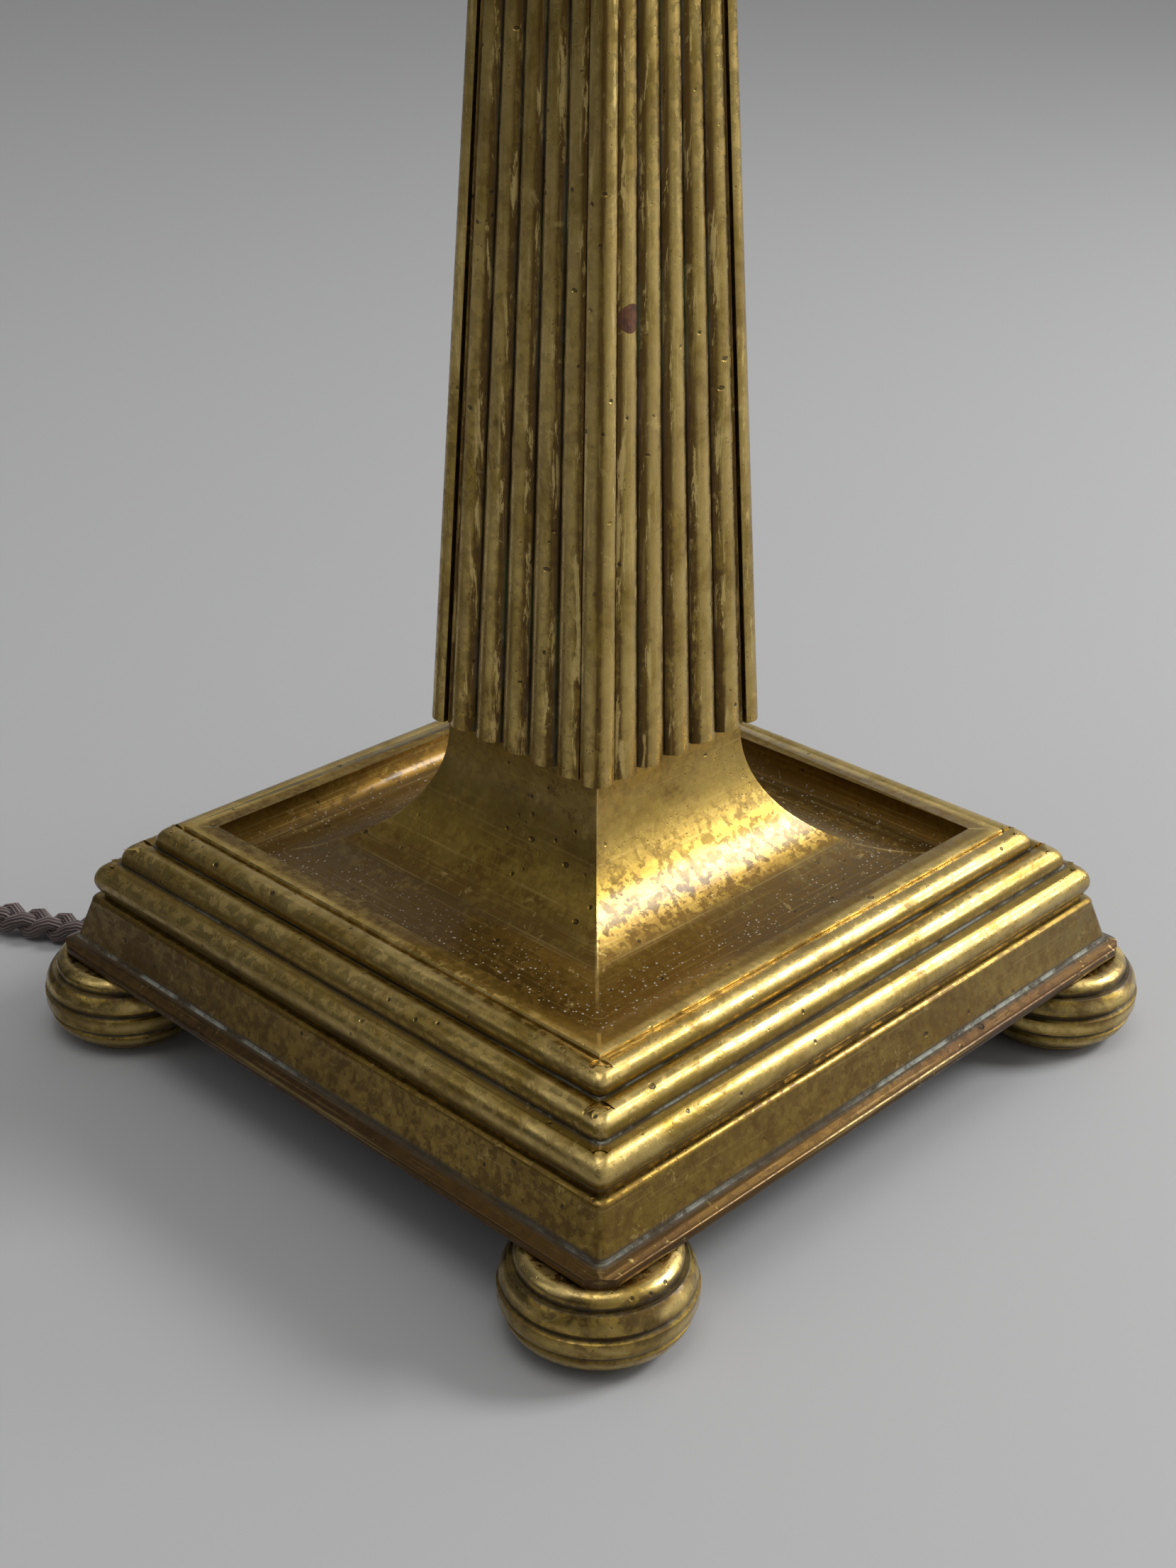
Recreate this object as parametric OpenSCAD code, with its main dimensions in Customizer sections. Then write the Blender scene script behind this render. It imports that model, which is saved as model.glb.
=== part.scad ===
// Torchiere floor lamp in aged brass: a reeded square column on a moulded
// square plinth with bun feet, a slender stem and a spun bowl turned upwards.
// Millimetres, +Z up. Origin: centre of the plinth's footprint on the floor.

/* [Plinth] */
// Width across the flange at the foot of the plinth
base_w = 222; // [185:1:270]
// Height of the flange's upright edge
flange_edge_h = 3.2; // [2.4:0.1:4]
// Height from the floor to the underside of the plinth
foot_h = 23.5; // [20:0.5:30]
// Width across the dish, inside the flat rim
dish_w = 151; // [140:1:152]
// Radius of the hollow sweep from the dish up to the column
neck_sweep_r = 40; // [36:1:42]
// Half width of the neck where the sweep begins
neck_half = 28.6; // [28:0.2:31]
// Wall left between the dish and the cavity below
casting_wall = 5.5; // [4:0.5:7]

/* [Feet] */
// Largest diameter of a bun foot
foot_d = 49; // [42:1:52]
// Distance from the flange's edge in to a foot's centre
foot_inset = 15; // [13:0.5:18]
// Diameter of the stud that holds a foot
foot_stud_d = 8; // [6:1:10]

/* [Column] */
// Width of the column at its foot
col_w = 66.6; // [60:0.2:72]
// Width of the column at its top
col_top_w = 32; // [28:0.5:40]
// Length of the column
col_len = 340; // [280:5:420]
// Wall of the column at its foot
col_wall = 8; // [6:0.5:9]
// Pitch of the reeds at the foot of the column
reed_pitch = 10.35; // [9:0.05:10.5]
// Width of the quirk between two reeds
quirk_w = 1; // [0.8:0.1:1.4]
// Diameter of the flush plug in the front face
pin_d = 7; // [5:0.5:8]
// Height of the flush plug above the floor
pin_z = 218; // [180:1:260]

/* [Stem] */
// Outside diameter of the stem tubes
stem_d = 20; // [18:0.5:26]
// Wall of the stem tubes
stem_wall = 1.2; // [1:0.1:2]
// Length of the lower stem tube
stem_lower_len = 520; // [400:5:620]
// Length of the upper stem tube
stem_upper_len = 480; // [360:5:600]
// Diameter of the hollow threaded rod that ties the lamp together
rod_d = 10; // [8:0.5:11]
// Wire hole through the rod
rod_bore_d = 7; // [6:0.5:7.5]
// Diameter of the two reeded knops
knop_d = 44; // [38:1:50]

/* [Bowl] */
// Width across the bowl's lip
bowl_w = 380; // [315:5:460]
// Depth of the bowl
bowl_h = 110; // [90:2:130]
// Thickness of the spun sheet
bowl_wall = 1.4; // [1:0.1:2]
// Diameter of the bulb's globe
bulb_d = 45; // [40:1:50]

/* [Cord] */
// Width of the plaited cord
cord_d = 10; // [8:0.5:11]
// Height of the plaited cord
cord_h = 9; // [7:0.5:10]
// Travel of the foot switch's button
button_travel = 3; // [2:0.5:4]

/* [Hidden] */
$fn = 64;
fit = 0.3;             // gap between a piece and the seat it drops into
slip = 0.05;           // radial gap of turned spigots in tubes and bores
base_half = base_w / 2;
foot_c = base_half - foot_inset;
dish_half = dish_w / 2;

// plinth outline: [inset from the flange, height above the feet]
crease_in = 4.5;  crease_up = 5;
fascia_in = 8;    fascia_up = 16.4;
groove_in = [10, 15, 22.3, 28.4];      // the quirks beside the three beads
groove_up = [19.8, 28.3, 33.6, 39.2];
bead_r = [5.3, 4.8, 4.4];
quirk_deep = 0.7;
fascia_edge_r = 1.8;
flange_corner_r = 9;
rim_in = 28.7;
rim_up = 40.2;
rim_z = foot_h + rim_up;
dish_r = 8;
dish_z = rim_z - dish_r;
neck_top_z = dish_z + neck_sweep_r + 2.9;
cavity_half = base_half - 13;
corner_block = 22;
pillar_c = 66;
pillar_d = 12;
plate_z = foot_h + 5.5;
plate_t = 1.5;
plate_half = 76;
weight_half = 58;
weight_h = 12;
cavity_z = [foot_h + 14.5, foot_h + 23, dish_z - casting_wall];
cavity_w = [cavity_half, base_half - 27, 62];
far = 400;             // longer than any prism needs

col_z = neck_top_z;
col_top_z = col_z + col_len;
col_half = col_w / 2;
col_k = col_top_w / col_w;
col_core = 2.9;
reed_r = 5.6;
corner_reed_r = 4.7;
quirk_d = 4.4;
function col_half_at(z) = col_half * (1 + (col_k - 1) * (z - col_z) / col_len);
cavity_col = col_half - col_wall;
pin_x = -col_half_at(pin_z) * 0.62;
pin_deep = 5;

rod_hole_d = rod_d + 0.6;
capital_h = 36;
knop_h = 34;
collar_h = 10;
spigot_h = 12;
stem_id = stem_d - 2 * stem_wall;
spigot_d = stem_id - 2 * slip;
capital_z = col_top_z;
knop_lower_z = capital_z + capital_h;
stem_lower_z = knop_lower_z + knop_h + collar_h;
coupling_h = 26;
coupling_z = stem_lower_z + stem_lower_len;
stem_upper_z = coupling_z + coupling_h;
knop_upper_z = stem_upper_z + stem_upper_len;
cup_z = knop_upper_z + collar_h + knop_h;
cup_h = 22;
bowl_z = cup_z + cup_h;
bowl_flat_r = 35;
bowl_r = bowl_w / 2;
bowl_c = (bowl_r * bowl_r - bowl_flat_r * bowl_flat_r + bowl_h * bowl_h) / (2 * bowl_h);
bowl_arc_r = sqrt(bowl_flat_r * bowl_flat_r + bowl_c * bowl_c);
lip_d = 5;
nut_af = 17;
nut_h = 6;
washer_h = 1.5;
rod_z = cavity_z[2] - washer_h - nut_h - 4;
rod_top_z = bowl_z + 18;
holder_z = bowl_z + bowl_wall + washer_h + nut_h + 0.6;
holder_d = 38;
cap_d = 26;            // the bulb's screw cap
cap_h = 25;
cap_z = holder_z + 28;
globe_z = cap_z + cap_h + bulb_d / 2 + 3;

// cord: leaves the anchor under the plinth, 30 degrees left of straight back
run_a = 30;
run_z = 16;
lead_d = 8;
lead_r = rod_z - run_z;
anchor_at = 38;
anchor_l = 24;
relief_l = 26;
cord_from = anchor_at + anchor_l + relief_l;
cord_z = cord_h / 2;
// points along the run: [distance from the plinth's centre, height]
run = [[88, 16], [95, 16], [104, 14.2], [112, 11.5], [120, 8.6], [128, 6.3], [138, 4.9],
       [150, 4.5], [168, 4.5], [184, 4.8], [196, 6.2], [208, 8], [218, 8]];
switch_at = 240;
switch_l = 74;
switch_w = 34;
switch_h = 22;
switch_relief_l = 22;
switch_axis_z = 8;
seam_z = 11;
button_d = 20;
button_up = 4;
coil_c = [-239, 292];
coil_out_r = 62;
coil_in_r = 42;
coil_h = 27;
// points from the switch to the coil, and from the coil to the plug
coil_lead = [[-168, 291, 8], [-172, 297.9, 8], [-178, 308, 6.2], [-185, 320, 4.7], [-193, 330.5, 4.5]];
plug_lead = [[-296, 281, 22.5], [-296, 268, 21.5], [-296, 254, 19], [-296, 240, 16], [-293, 225, 13.5],
             [-284, 212, 12.5], [-272, 203, 14], [-263, 200.3, 16.5], [-254, 200, 18.5], [-247, 200, 18.5]];
plug_y = 200;
plug_x = -221;
plug_d = 37;
plug_z = plug_d / 2;
plug_len = 36;
plug_relief_l = 26;
plug_pin_d = 4.8;
plug_root_d = 6;
plug_pin_l = 19;
plug_pin_gap = 19;
tie_a = -50;

// ---- shared shapes ------------------------------------------------------

// prism of a 2D outline (x is width, y is height) along Y
module along_y() { translate([0, far / 2, 0]) rotate([90, 0, 0]) linear_extrude(far) children(); }

// square body whose every level has the outline's width both ways
module square_turned() {
    intersection() {
        along_y() children();
        rotate([0, 0, 90]) along_y() children();
    }
}

module both_sides() { children(); mirror([1, 0]) children(); }

// one rounded band of a turned ball, from [r, z] to [r, z], with a bulge radius
module band(a, b, bulge) {
    chord = norm(b - a);
    n = [b[1] - a[1], a[0] - b[0]] / chord;
    c = (a + b) / 2 - n * sqrt(bulge * bulge - chord * chord / 4);
    intersection() {
        translate([0, a[1]]) square([2 * knop_d, b[1] - a[1]]);
        union() {
            translate(c) circle(r = bulge);
            polygon([[0, a[1]], [a[0], a[1]], [b[0], b[1]], [0, b[1]]]);
        }
    }
}

// reeded ball outline: radius r, from z = 0 to h, a neck ring on top
module ball_outline(r, h) {
    q = [[0.82, 0.115], [0.955, 0.36], [0.975, 0.615], [0.845, 0.865]];
    p = [for (i = q) [i[0] * r, i[1] * h]];
    gap = 0.45;
    band([0.62 * r, 0], p[0] - [0, gap], 0.3 * r);
    for (i = [0:2])
        band(p[i] + [0, gap], p[i + 1] - [0, gap], 0.36 * r);
    translate([0, p[3][1] + gap]) square([0.85 * r, h - p[3][1] - gap]);
    translate([0.85 * r, (p[3][1] + gap + h) / 2]) circle(d = h - p[3][1] - gap);
    square([0.78 * r, h]);
}

module hex_nut(af, h, hole) {
    difference() {
        cylinder(d = af / cos(30), h = h, $fn = 6);
        translate([0, 0, -1]) cylinder(d = hole, h = h + 2);
    }
}

module pan_screw(d, head_d, head_h, length) {
    cylinder(d = d, h = length);
    translate([0, 0, -head_h]) cylinder(d = head_d, h = head_h);
}

module at_feet(c) { for (x = [-1, 1], y = [-1, 1]) translate([x * c, y * c, 0]) children(); }

// the cord's direction under the plinth, as a local +Y
module along_run(t) { rotate([0, 0, run_a]) translate([0, t, 0]) children(); }
function run_point(t, z) = [-sin(run_a) * t, cos(run_a) * t, z];

// tube swept along points, w wide and h high, with n sides
module swept(points, w, h, n) {
    last = len(points) - 1;
    function tangent(i) = let (d = points[min(i + 1, last)] - points[max(i - 1, 0)]) d / norm(d);
    function side(t) = let (s = cross(t, [0, 0, 1])) s / norm(s);
    rings = [for (i = [0:last]) let (t = tangent(i), s = side(t), u = cross(s, t))
             for (k = [0:n - 1]) points[i] + s * cos(360 * k / n) * w / 2 + u * sin(360 * k / n) * h / 2];
    walls = [for (i = [0:last - 1], k = [0:n - 1]) let (m = (k + 1) % n)
             for (f = [[i * n + k, i * n + m, (i + 1) * n + m], [i * n + k, (i + 1) * n + m, (i + 1) * n + k]]) f];
    caps = [[for (k = [n - 1:-1:0]) k], [for (k = [0:n - 1]) last * n + k]];
    polyhedron(points = rings, faces = concat(walls, caps));
}

// ---- plinth and what is in it ------------------------------------------

module plinth_outline() {
    both_sides() {
        // flange with a rounded edge and a sloping top
        square_top = foot_h + flange_edge_h;
        translate([base_half - flange_edge_h / 2, foot_h + flange_edge_h / 2]) circle(d = flange_edge_h);
        translate([0, foot_h]) square([base_half - flange_edge_h / 2, flange_edge_h]);
        polygon([[0, foot_h], [base_half - 1, foot_h + 2], [base_half - 1, square_top - 0.2],
                 [base_half - crease_in - 0.6, foot_h + crease_up], [0, foot_h + crease_up]]);
        // fascia with a rounded top edge
        f_w = base_half - fascia_in;
        f_z = foot_h + fascia_up;
        polygon([[0, foot_h + 2], [base_half - crease_in, foot_h + crease_up - 0.5], [f_w, f_z],
                 [f_w - fascia_edge_r, f_z + fascia_edge_r], [0, f_z + fascia_edge_r]]);
        translate([f_w - fascia_edge_r, f_z]) circle(r = fascia_edge_r);
        // core under the beads
        g = [for (i = [0:3]) [base_half - groove_in[i], foot_h + groove_up[i]]];
        polygon(concat([[0, foot_h + 10], [g[0][0] - quirk_deep, foot_h + 10]],
                       [for (i = [0:3]) g[i] - [quirk_deep, quirk_deep]],
                       [[0, g[3][1] - quirk_deep]]));
        // three beads
        for (i = [0:2]) {
            chord = norm(g[i + 1] - g[i]);
            n = [g[i + 1][1] - g[i][1], g[i][0] - g[i + 1][0]] / chord;
            translate((g[i] + g[i + 1]) / 2 - n * sqrt(bead_r[i] * bead_r[i] - chord * chord / 4))
                circle(r = bead_r[i]);
        }
        // flat rim
        translate([0, foot_h]) square([base_half - rim_in, rim_z - foot_h]);
    }
}

// the dish's upright wall, as the void it leaves
module dish_outline() {
    both_sides() {
        translate([0, dish_z]) square([dish_half - dish_r, far]);
        translate([dish_half - dish_r, rim_z]) circle(r = dish_r);
        translate([0, rim_z]) square([dish_half, far]);
    }
}

module neck_outline() {
    difference() {
        translate([-dish_half, foot_h + 10]) square([dish_w, neck_top_z - foot_h - 10]);
        for (s = [-1, 1]) {
            translate([s * (neck_half + neck_sweep_r), dish_z + neck_sweep_r]) circle(r = neck_sweep_r, $fn = 160);
            translate([s * (neck_half + neck_sweep_r + far / 2), dish_z + far / 2]) square(far, center = true);
            translate([s * (neck_half + neck_sweep_r), dish_z + neck_sweep_r + far / 2])
                square([2 * neck_sweep_r, far], center = true);
        }
    }
}

module rounded_square(half, r) {
    square([2 * half, 2 * (half - r)], center = true);
    square([2 * (half - r), 2 * half], center = true);
    for (x = [-1, 1], y = [-1, 1]) translate([x, y] * (half - r)) circle(r = r);
}

module base_plinth() color("darkgoldenrod") {
    spigot_half = cavity_col * (1 - (1 - col_k) * spigot_h / col_len) - fit;
    difference() {
        union() {
            difference() {
                intersection() {
                    square_turned() plinth_outline();
                    linear_extrude(2 * far) rounded_square(base_half, flange_corner_r);
                }
                square_turned() dish_outline();
            }
            square_turned() neck_outline();
            translate([-spigot_half, -spigot_half, neck_top_z - 1]) cube([2 * spigot_half, 2 * spigot_half, spigot_h]);
        }
        // stepped cavity that leaves a solid block over each foot
        difference() {
            for (i = [0:2]) translate([-cavity_w[i], -cavity_w[i], foot_h - 1])
                cube([2 * cavity_w[i], 2 * cavity_w[i], cavity_z[i] - foot_h + 1]);
            at_feet(cavity_half) cube([2 * corner_block, 2 * corner_block, far], center = true);
            at_feet(pillar_c) translate([0, 0, plate_z + plate_t]) cylinder(d = pillar_d, h = far);
        }
        translate([0, 0, foot_h]) cylinder(d = rod_hole_d, h = far);
        at_feet(foot_c) translate([0, 0, foot_h - 1]) cylinder(d = foot_stud_d + 2 * slip, h = 14);
        at_feet(pillar_c) translate([0, 0, foot_h]) cylinder(d = 4 + 2 * slip, h = plate_z + plate_t + 9 - foot_h);
        translate([34, -34, cavity_z[2] - 1]) cylinder(d = 4 + 2 * slip, h = 4.4);
    }
}

module foot() color("goldenrod") difference() {
    rotate_extrude() ball_outline(foot_d / 2, foot_h);
    translate([0, 0, foot_h - 13]) cylinder(d = foot_stud_d + 2 * slip, h = 20);
}
module foot_front_left() { translate([-foot_c, -foot_c, 0]) foot(); }
module foot_front_right() { translate([foot_c, -foot_c, 0]) foot(); }
module foot_rear_left() { translate([-foot_c, foot_c, 0]) foot(); }
module foot_rear_right() { translate([foot_c, foot_c, 0]) foot(); }

module foot_studs() color("gray") at_feet(foot_c) translate([0, 0, foot_h - 12]) cylinder(d = foot_stud_d, h = 24);

module base_plate() color("dimgray") difference() {
    translate([-plate_half, -plate_half, plate_z]) cube([2 * plate_half, 2 * plate_half, plate_t]);
    translate([0, 0, plate_z - 1]) cylinder(d = 26, h = plate_t + 2);
    at_feet(pillar_c) translate([0, 0, plate_z - 1]) cylinder(d = 4.5, h = plate_t + 2);
    along_run(anchor_at + anchor_l / 2) for (x = [-8.5, 8.5]) translate([x, 0, plate_z - 1]) cylinder(d = 3.2, h = 4);
}

module base_plate_screws() color("silver") at_feet(pillar_c) translate([0, 0, plate_z]) pan_screw(4, 8, 2.4, 9);

module base_weight() color("#3a3a3c") difference() {
    translate([-weight_half, -weight_half, plate_z + plate_t]) cube([2 * weight_half, 2 * weight_half, weight_h]);
    translate([0, 0, plate_z]) cylinder(d = 40, h = far);
    translate([34, -34, plate_z]) cylinder(d = 12, h = far);
    at_feet(pillar_c) translate([0, 0, plate_z]) cylinder(d = pillar_d + 2, h = far);
    along_run(anchor_at + anchor_l / 2) for (x = [-8.5, 8.5]) translate([x, 0, plate_z]) cylinder(d = 6, h = 7);
}

module tie_rod() color("silver") difference() {
    translate([0, 0, rod_z]) cylinder(d = rod_d, h = rod_top_z - rod_z);
    translate([0, 0, rod_z - 1]) cylinder(d = rod_bore_d, h = rod_top_z - rod_z + 2);
}

module ring_washer(d, z) translate([0, 0, z]) difference() {
    cylinder(d = d, h = washer_h);
    translate([0, 0, -1]) cylinder(d = rod_hole_d, h = washer_h + 2);
}
module base_washer() color("silver") ring_washer(26, cavity_z[2] - washer_h);
module base_nut() color("silver") translate([0, 0, cavity_z[2] - washer_h - nut_h]) hex_nut(nut_af, nut_h, rod_d + 2 * slip);
module earth_screw() color("gold") translate([34, -34, cavity_z[2]]) pan_screw(4, 8, 3, 3);

// sleeved lead that turns from the rod's mouth to the anchor
module base_lead() color("saddlebrown") rotate([0, 0, run_a]) {
    translate([0, lead_r, rod_z]) rotate([-90, 0, 0]) rotate([0, 90, 0])
        rotate_extrude(angle = 90) translate([lead_r, 0]) circle(d = lead_d - 1.4);
    translate([0, lead_r, run_z]) rotate([-90, 0, 0]) cylinder(d = lead_d - 1.4, h = anchor_at - lead_r + 6);
}

module cord_anchor() color("#3b2418") along_run(anchor_at) difference() {
    translate([-12, 0, 7]) cube([24, anchor_l, plate_z - 7]);
    translate([0, -1, run_z]) rotate([-90, 0, 0]) cylinder(d = lead_d, h = anchor_l + 2);
    for (x = [-8.5, 8.5]) translate([x, anchor_l / 2, 6]) cylinder(d = 3.2, h = 30);
}
module cord_anchor_screws() color("silver") along_run(anchor_at + anchor_l / 2)
    for (x = [-8.5, 8.5]) translate([x, 0, 7]) pan_screw(3, 5, 1.8, plate_z - 7 + plate_t + 3);

module relief(d1, d2, length) rotate([-90, 0, 0]) difference() {
    rotate_extrude() polygon([[0, 0], [d1 / 2, 0], [d1 / 2, 4], [d2 / 2, length], [0, length]]);
    translate([0, 0, -1]) cylinder(d = lead_d, h = length - 4);
}
module cord_relief() color("#3b2418") along_run(anchor_at + anchor_l) translate([0, 0, run_z]) relief(17, 11.5, relief_l);

// ---- column -------------------------------------------------------------

module reed_section() difference() {
    union() {
        square(2 * (col_half - col_core), center = true);
        for (a = [0:90:270]) rotate(a) {
            for (i = [-2:2]) translate([i * reed_pitch, col_half - reed_r]) circle(r = reed_r, $fn = 32);
            translate([1, 1] * (col_half - corner_reed_r)) circle(r = corner_reed_r, $fn = 32);
        }
    }
    for (a = [0:90:270], i = [-2.5:2.5])
        rotate(a) translate([i * reed_pitch, col_half]) square([quirk_w, 2 * quirk_d], center = true);
}
module column_solid() translate([0, 0, col_z]) linear_extrude(height = col_len, scale = col_k) reed_section();
module pin_shape(d) translate([pin_x, -col_half, pin_z]) rotate([-90, 0, 0])
    cylinder(d = d, h = col_half - col_half_at(pin_z) + pin_deep);

module column() color("darkgoldenrod") difference() {
    column_solid();
    translate([0, 0, col_z]) linear_extrude(height = col_len, scale = col_k) square(2 * cavity_col, center = true);
    pin_shape(pin_d + 2 * slip);
}
module column_pin() color("sienna") intersection() { column_solid(); pin_shape(pin_d); }

module capital_outline() {
    w = col_top_w / 2;
    both_sides() {
        square([w + 1.2, 4]);
        translate([w + 1.2, 2]) circle(d = 4);
        translate([0, 3]) square([w - 0.5, 18]);
        difference() {
            translate([0, 6]) square([w + 11.5, 14]);
            translate([w + 13, 6.5]) circle(r = 13.5, $fn = 96);
            translate([w - 0.5, 0]) square([30, 6.5]);
        }
        translate([0, 20]) square([w + 9, 5]);
        translate([w + 9, 22.5]) circle(d = 5);
        translate([0, 25]) square([w + 13, 7]);
        translate([0, 32]) square([w + 7, 4]);
    }
}
module capital() color("darkgoldenrod") translate([0, 0, capital_z]) {
    plug_half = cavity_col * col_k - fit;
    difference() {
        union() {
            square_turned() capital_outline();
            translate([-plug_half, -plug_half, -8]) cube([2 * plug_half, 2 * plug_half, 9]);
        }
        translate([0, 0, -10]) cylinder(d = rod_hole_d, h = capital_h + 20);
    }
}

// ---- stem ---------------------------------------------------------------

// outline of the collar that steps from the ball down to the tube
module collar_outline(h) {
    square([stem_d / 2 + 1.5, h]);
    translate([stem_d / 2 + 3.5, 2.5]) circle(d = 5);
    square([stem_d / 2 + 3.5, 5]);
    translate([stem_d / 2 + 1.5, h - 2]) circle(d = 4);
}
module rod_hole(z, h) translate([0, 0, z - 20]) cylinder(d = rod_hole_d, h = h + 40);

module knop_lower() color("goldenrod") difference() {
    union() {
        rotate_extrude() union() {
            translate([0, knop_lower_z]) ball_outline(knop_d / 2, knop_h);
            translate([0, knop_lower_z + knop_h]) collar_outline(collar_h);
        }
        translate([0, 0, stem_lower_z - 1]) cylinder(d = spigot_d, h = spigot_h);
    }
    rod_hole(knop_lower_z, knop_h + collar_h + spigot_h);
}

module stem_tube(z, h) difference() {
    rotate_extrude() union() {
        translate([0, z]) square([stem_d / 2, h]);
        for (q = [1 / 3, 2 / 3], dz = [-4, 0, 4])
            translate([stem_d / 2 - 0.6, z + q * h + dz]) circle(d = 4);
    }
    translate([0, 0, z - 1]) cylinder(d = stem_id, h = h + 2);
}
module stem_lower() color("darkgoldenrod") stem_tube(stem_lower_z, stem_lower_len);
module stem_upper() color("darkgoldenrod") stem_tube(stem_upper_z, stem_upper_len);

module stem_coupling() color("goldenrod") difference() {
    rotate_extrude() {
        r = stem_d / 2;
        translate([0, coupling_z - spigot_h]) square([spigot_d / 2, coupling_h + 2 * spigot_h]);
        translate([0, coupling_z]) square([r + 2, coupling_h]);
        translate([r + 2, coupling_z + 2.5]) circle(d = 5);
        translate([r + 2, coupling_z + coupling_h - 2.5]) circle(d = 5);
        translate([r - 1, coupling_z + coupling_h / 2]) circle(d = 15);
    }
    rod_hole(coupling_z, coupling_h);
}

module knop_upper() color("goldenrod") difference() {
    rotate_extrude() {
        translate([0, knop_upper_z + collar_h]) mirror([0, 1]) collar_outline(collar_h);
        translate([0, knop_upper_z + collar_h]) ball_outline(knop_d / 2 - 2, knop_h);
        translate([0, knop_upper_z - spigot_h]) square([spigot_d / 2, spigot_h + 1]);
    }
    rod_hole(knop_upper_z, knop_h + collar_h);
}

// ---- bowl and lampholder ------------------------------------------------

module bowl_cup() color("goldenrod") difference() {
    rotate_extrude() translate([0, cup_z]) {
        square([15, cup_h]);
        translate([15, 2.5]) circle(d = 5);
        translate([0, 0]) square([15, 5]);
        difference() {
            translate([0, 5]) square([bowl_flat_r - 1, cup_h - 5]);
            translate([bowl_flat_r - 1, 5]) circle(r = 14, $fn = 96);
        }
    }
    rod_hole(cup_z, cup_h);
}

module bowl() color("darkgoldenrod") difference() {
    rotate_extrude($fn = 128) {
        translate([0, bowl_z]) square([bowl_flat_r + 1, bowl_wall]);
        intersection() {
            translate([bowl_flat_r, bowl_z]) square([bowl_r, bowl_h]);
            difference() {
                translate([0, bowl_z + bowl_c]) circle(r = bowl_arc_r, $fn = 256);
                translate([0, bowl_z + bowl_c]) circle(r = bowl_arc_r - bowl_wall, $fn = 256);
            }
        }
    }
    rod_hole(bowl_z, 4);
}
module bowl_lip() color("goldenrod") rotate_extrude($fn = 128)
    translate([bowl_r - bowl_wall / 2, bowl_z + bowl_h + lip_d / 2]) circle(d = lip_d);
module bowl_washer() color("silver") ring_washer(36, bowl_z + bowl_wall);
module bowl_nut() color("silver") translate([0, 0, bowl_z + bowl_wall + washer_h]) hex_nut(nut_af, nut_h, rod_d + 2 * slip);

module wire_cores() color("saddlebrown") for (a = [0:120:240]) rotate([0, 0, a])
    translate([1.95, 0, rod_z + 0.2]) cylinder(d = 2.6, h = holder_z + 15 - rod_z);

module holder_cap() color("#2b1a12") translate([0, 0, holder_z]) difference() {
    rotate_extrude() polygon([[0, 0], [8, 0], [8, 7], [13, 10], [17, 14], [holder_d / 2, 18], [holder_d / 2, 22], [0, 22]]);
    translate([0, 0, -1]) cylinder(d = rod_d + 2 * slip, h = rod_top_z - holder_z + 1.3);
    translate([0, 0, 1]) cylinder(d = 7.4, h = 30);
    translate([0, 0, 17]) cylinder(d = 32, h = 10);
}
module holder_shell() color("#2b1a12") translate([0, 0, holder_z + 22]) difference() {
    cylinder(d = holder_d, h = 26);
    translate([0, 0, -1]) cylinder(d = 30.4, h = 40);
}
module holder_insert() color("ivory") translate([0, 0, holder_z + 17]) difference() {
    cylinder(d = 30, h = 27);
    translate([0, 0, 9]) cylinder(d = cap_d + 0.6, h = 30);
    cylinder(d = 5, h = 20, center = true);
}
module holder_contact() color("gold") translate([0, 0, holder_z + 26]) {
    difference() {
        cylinder(d = 9, h = 0.8);
        translate([0, 0, -1]) cylinder(d = 5, h = 3);
    }
    translate([0, 0, 0.8]) cylinder(d = 6, h = cap_z - holder_z - 26.8 - 1);
}

module bulb_cap() color("silver") translate([0, 0, cap_z]) difference() {
    union() {
        rotate_extrude() polygon([[0, 0], [5, 0], [cap_d / 2 - 1, 4], [cap_d / 2 - 1, cap_h], [0, cap_h]]);
        for (i = [0:3]) translate([0, 0, 7 + i * 4.5]) rotate_extrude() translate([cap_d / 2 - 1.2, 0]) circle(d = 2.4);
    }
    translate([0, 0, 5]) cylinder(d = cap_d - 4, h = cap_h);
    translate([0, 0, -1]) cylinder(d = 4.2, h = 10);
}
module bulb_contact() color("gray") translate([0, 0, cap_z - 1]) cylinder(d = 4, h = 6);
module bulb_globe() color("white", 0.6) difference() {
    union() {
        translate([0, 0, globe_z]) sphere(d = bulb_d);
        translate([0, 0, cap_z + cap_h - 6]) cylinder(d = cap_d - 4.4, h = globe_z - cap_z - cap_h + 6);
    }
    translate([0, 0, globe_z]) sphere(d = bulb_d - 1.6);
    translate([0, 0, cap_z + cap_h - 7]) cylinder(d = cap_d - 6.4, h = globe_z - cap_z - cap_h);
}
module bulb_stem() color("white", 0.7) translate([0, 0, cap_z + 5]) {
    cylinder(d = 7, h = globe_z - cap_z - 9);
    cylinder(d = cap_d - 8, h = 2);
}
module bulb_filament() color("orange") {
    for (a = [0:90:270]) rotate([0, 0, a]) translate([5.4, 0, globe_z - 10]) cylinder(d = 1.6, h = 18);
    translate([0, 0, globe_z - 11]) difference() {
        cylinder(d = 12.6, h = 1);
        translate([0, 0, -1]) cylinder(d = 7.2, h = 3);
    }
}

// ---- cord, foot switch and plug -----------------------------------------

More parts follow.
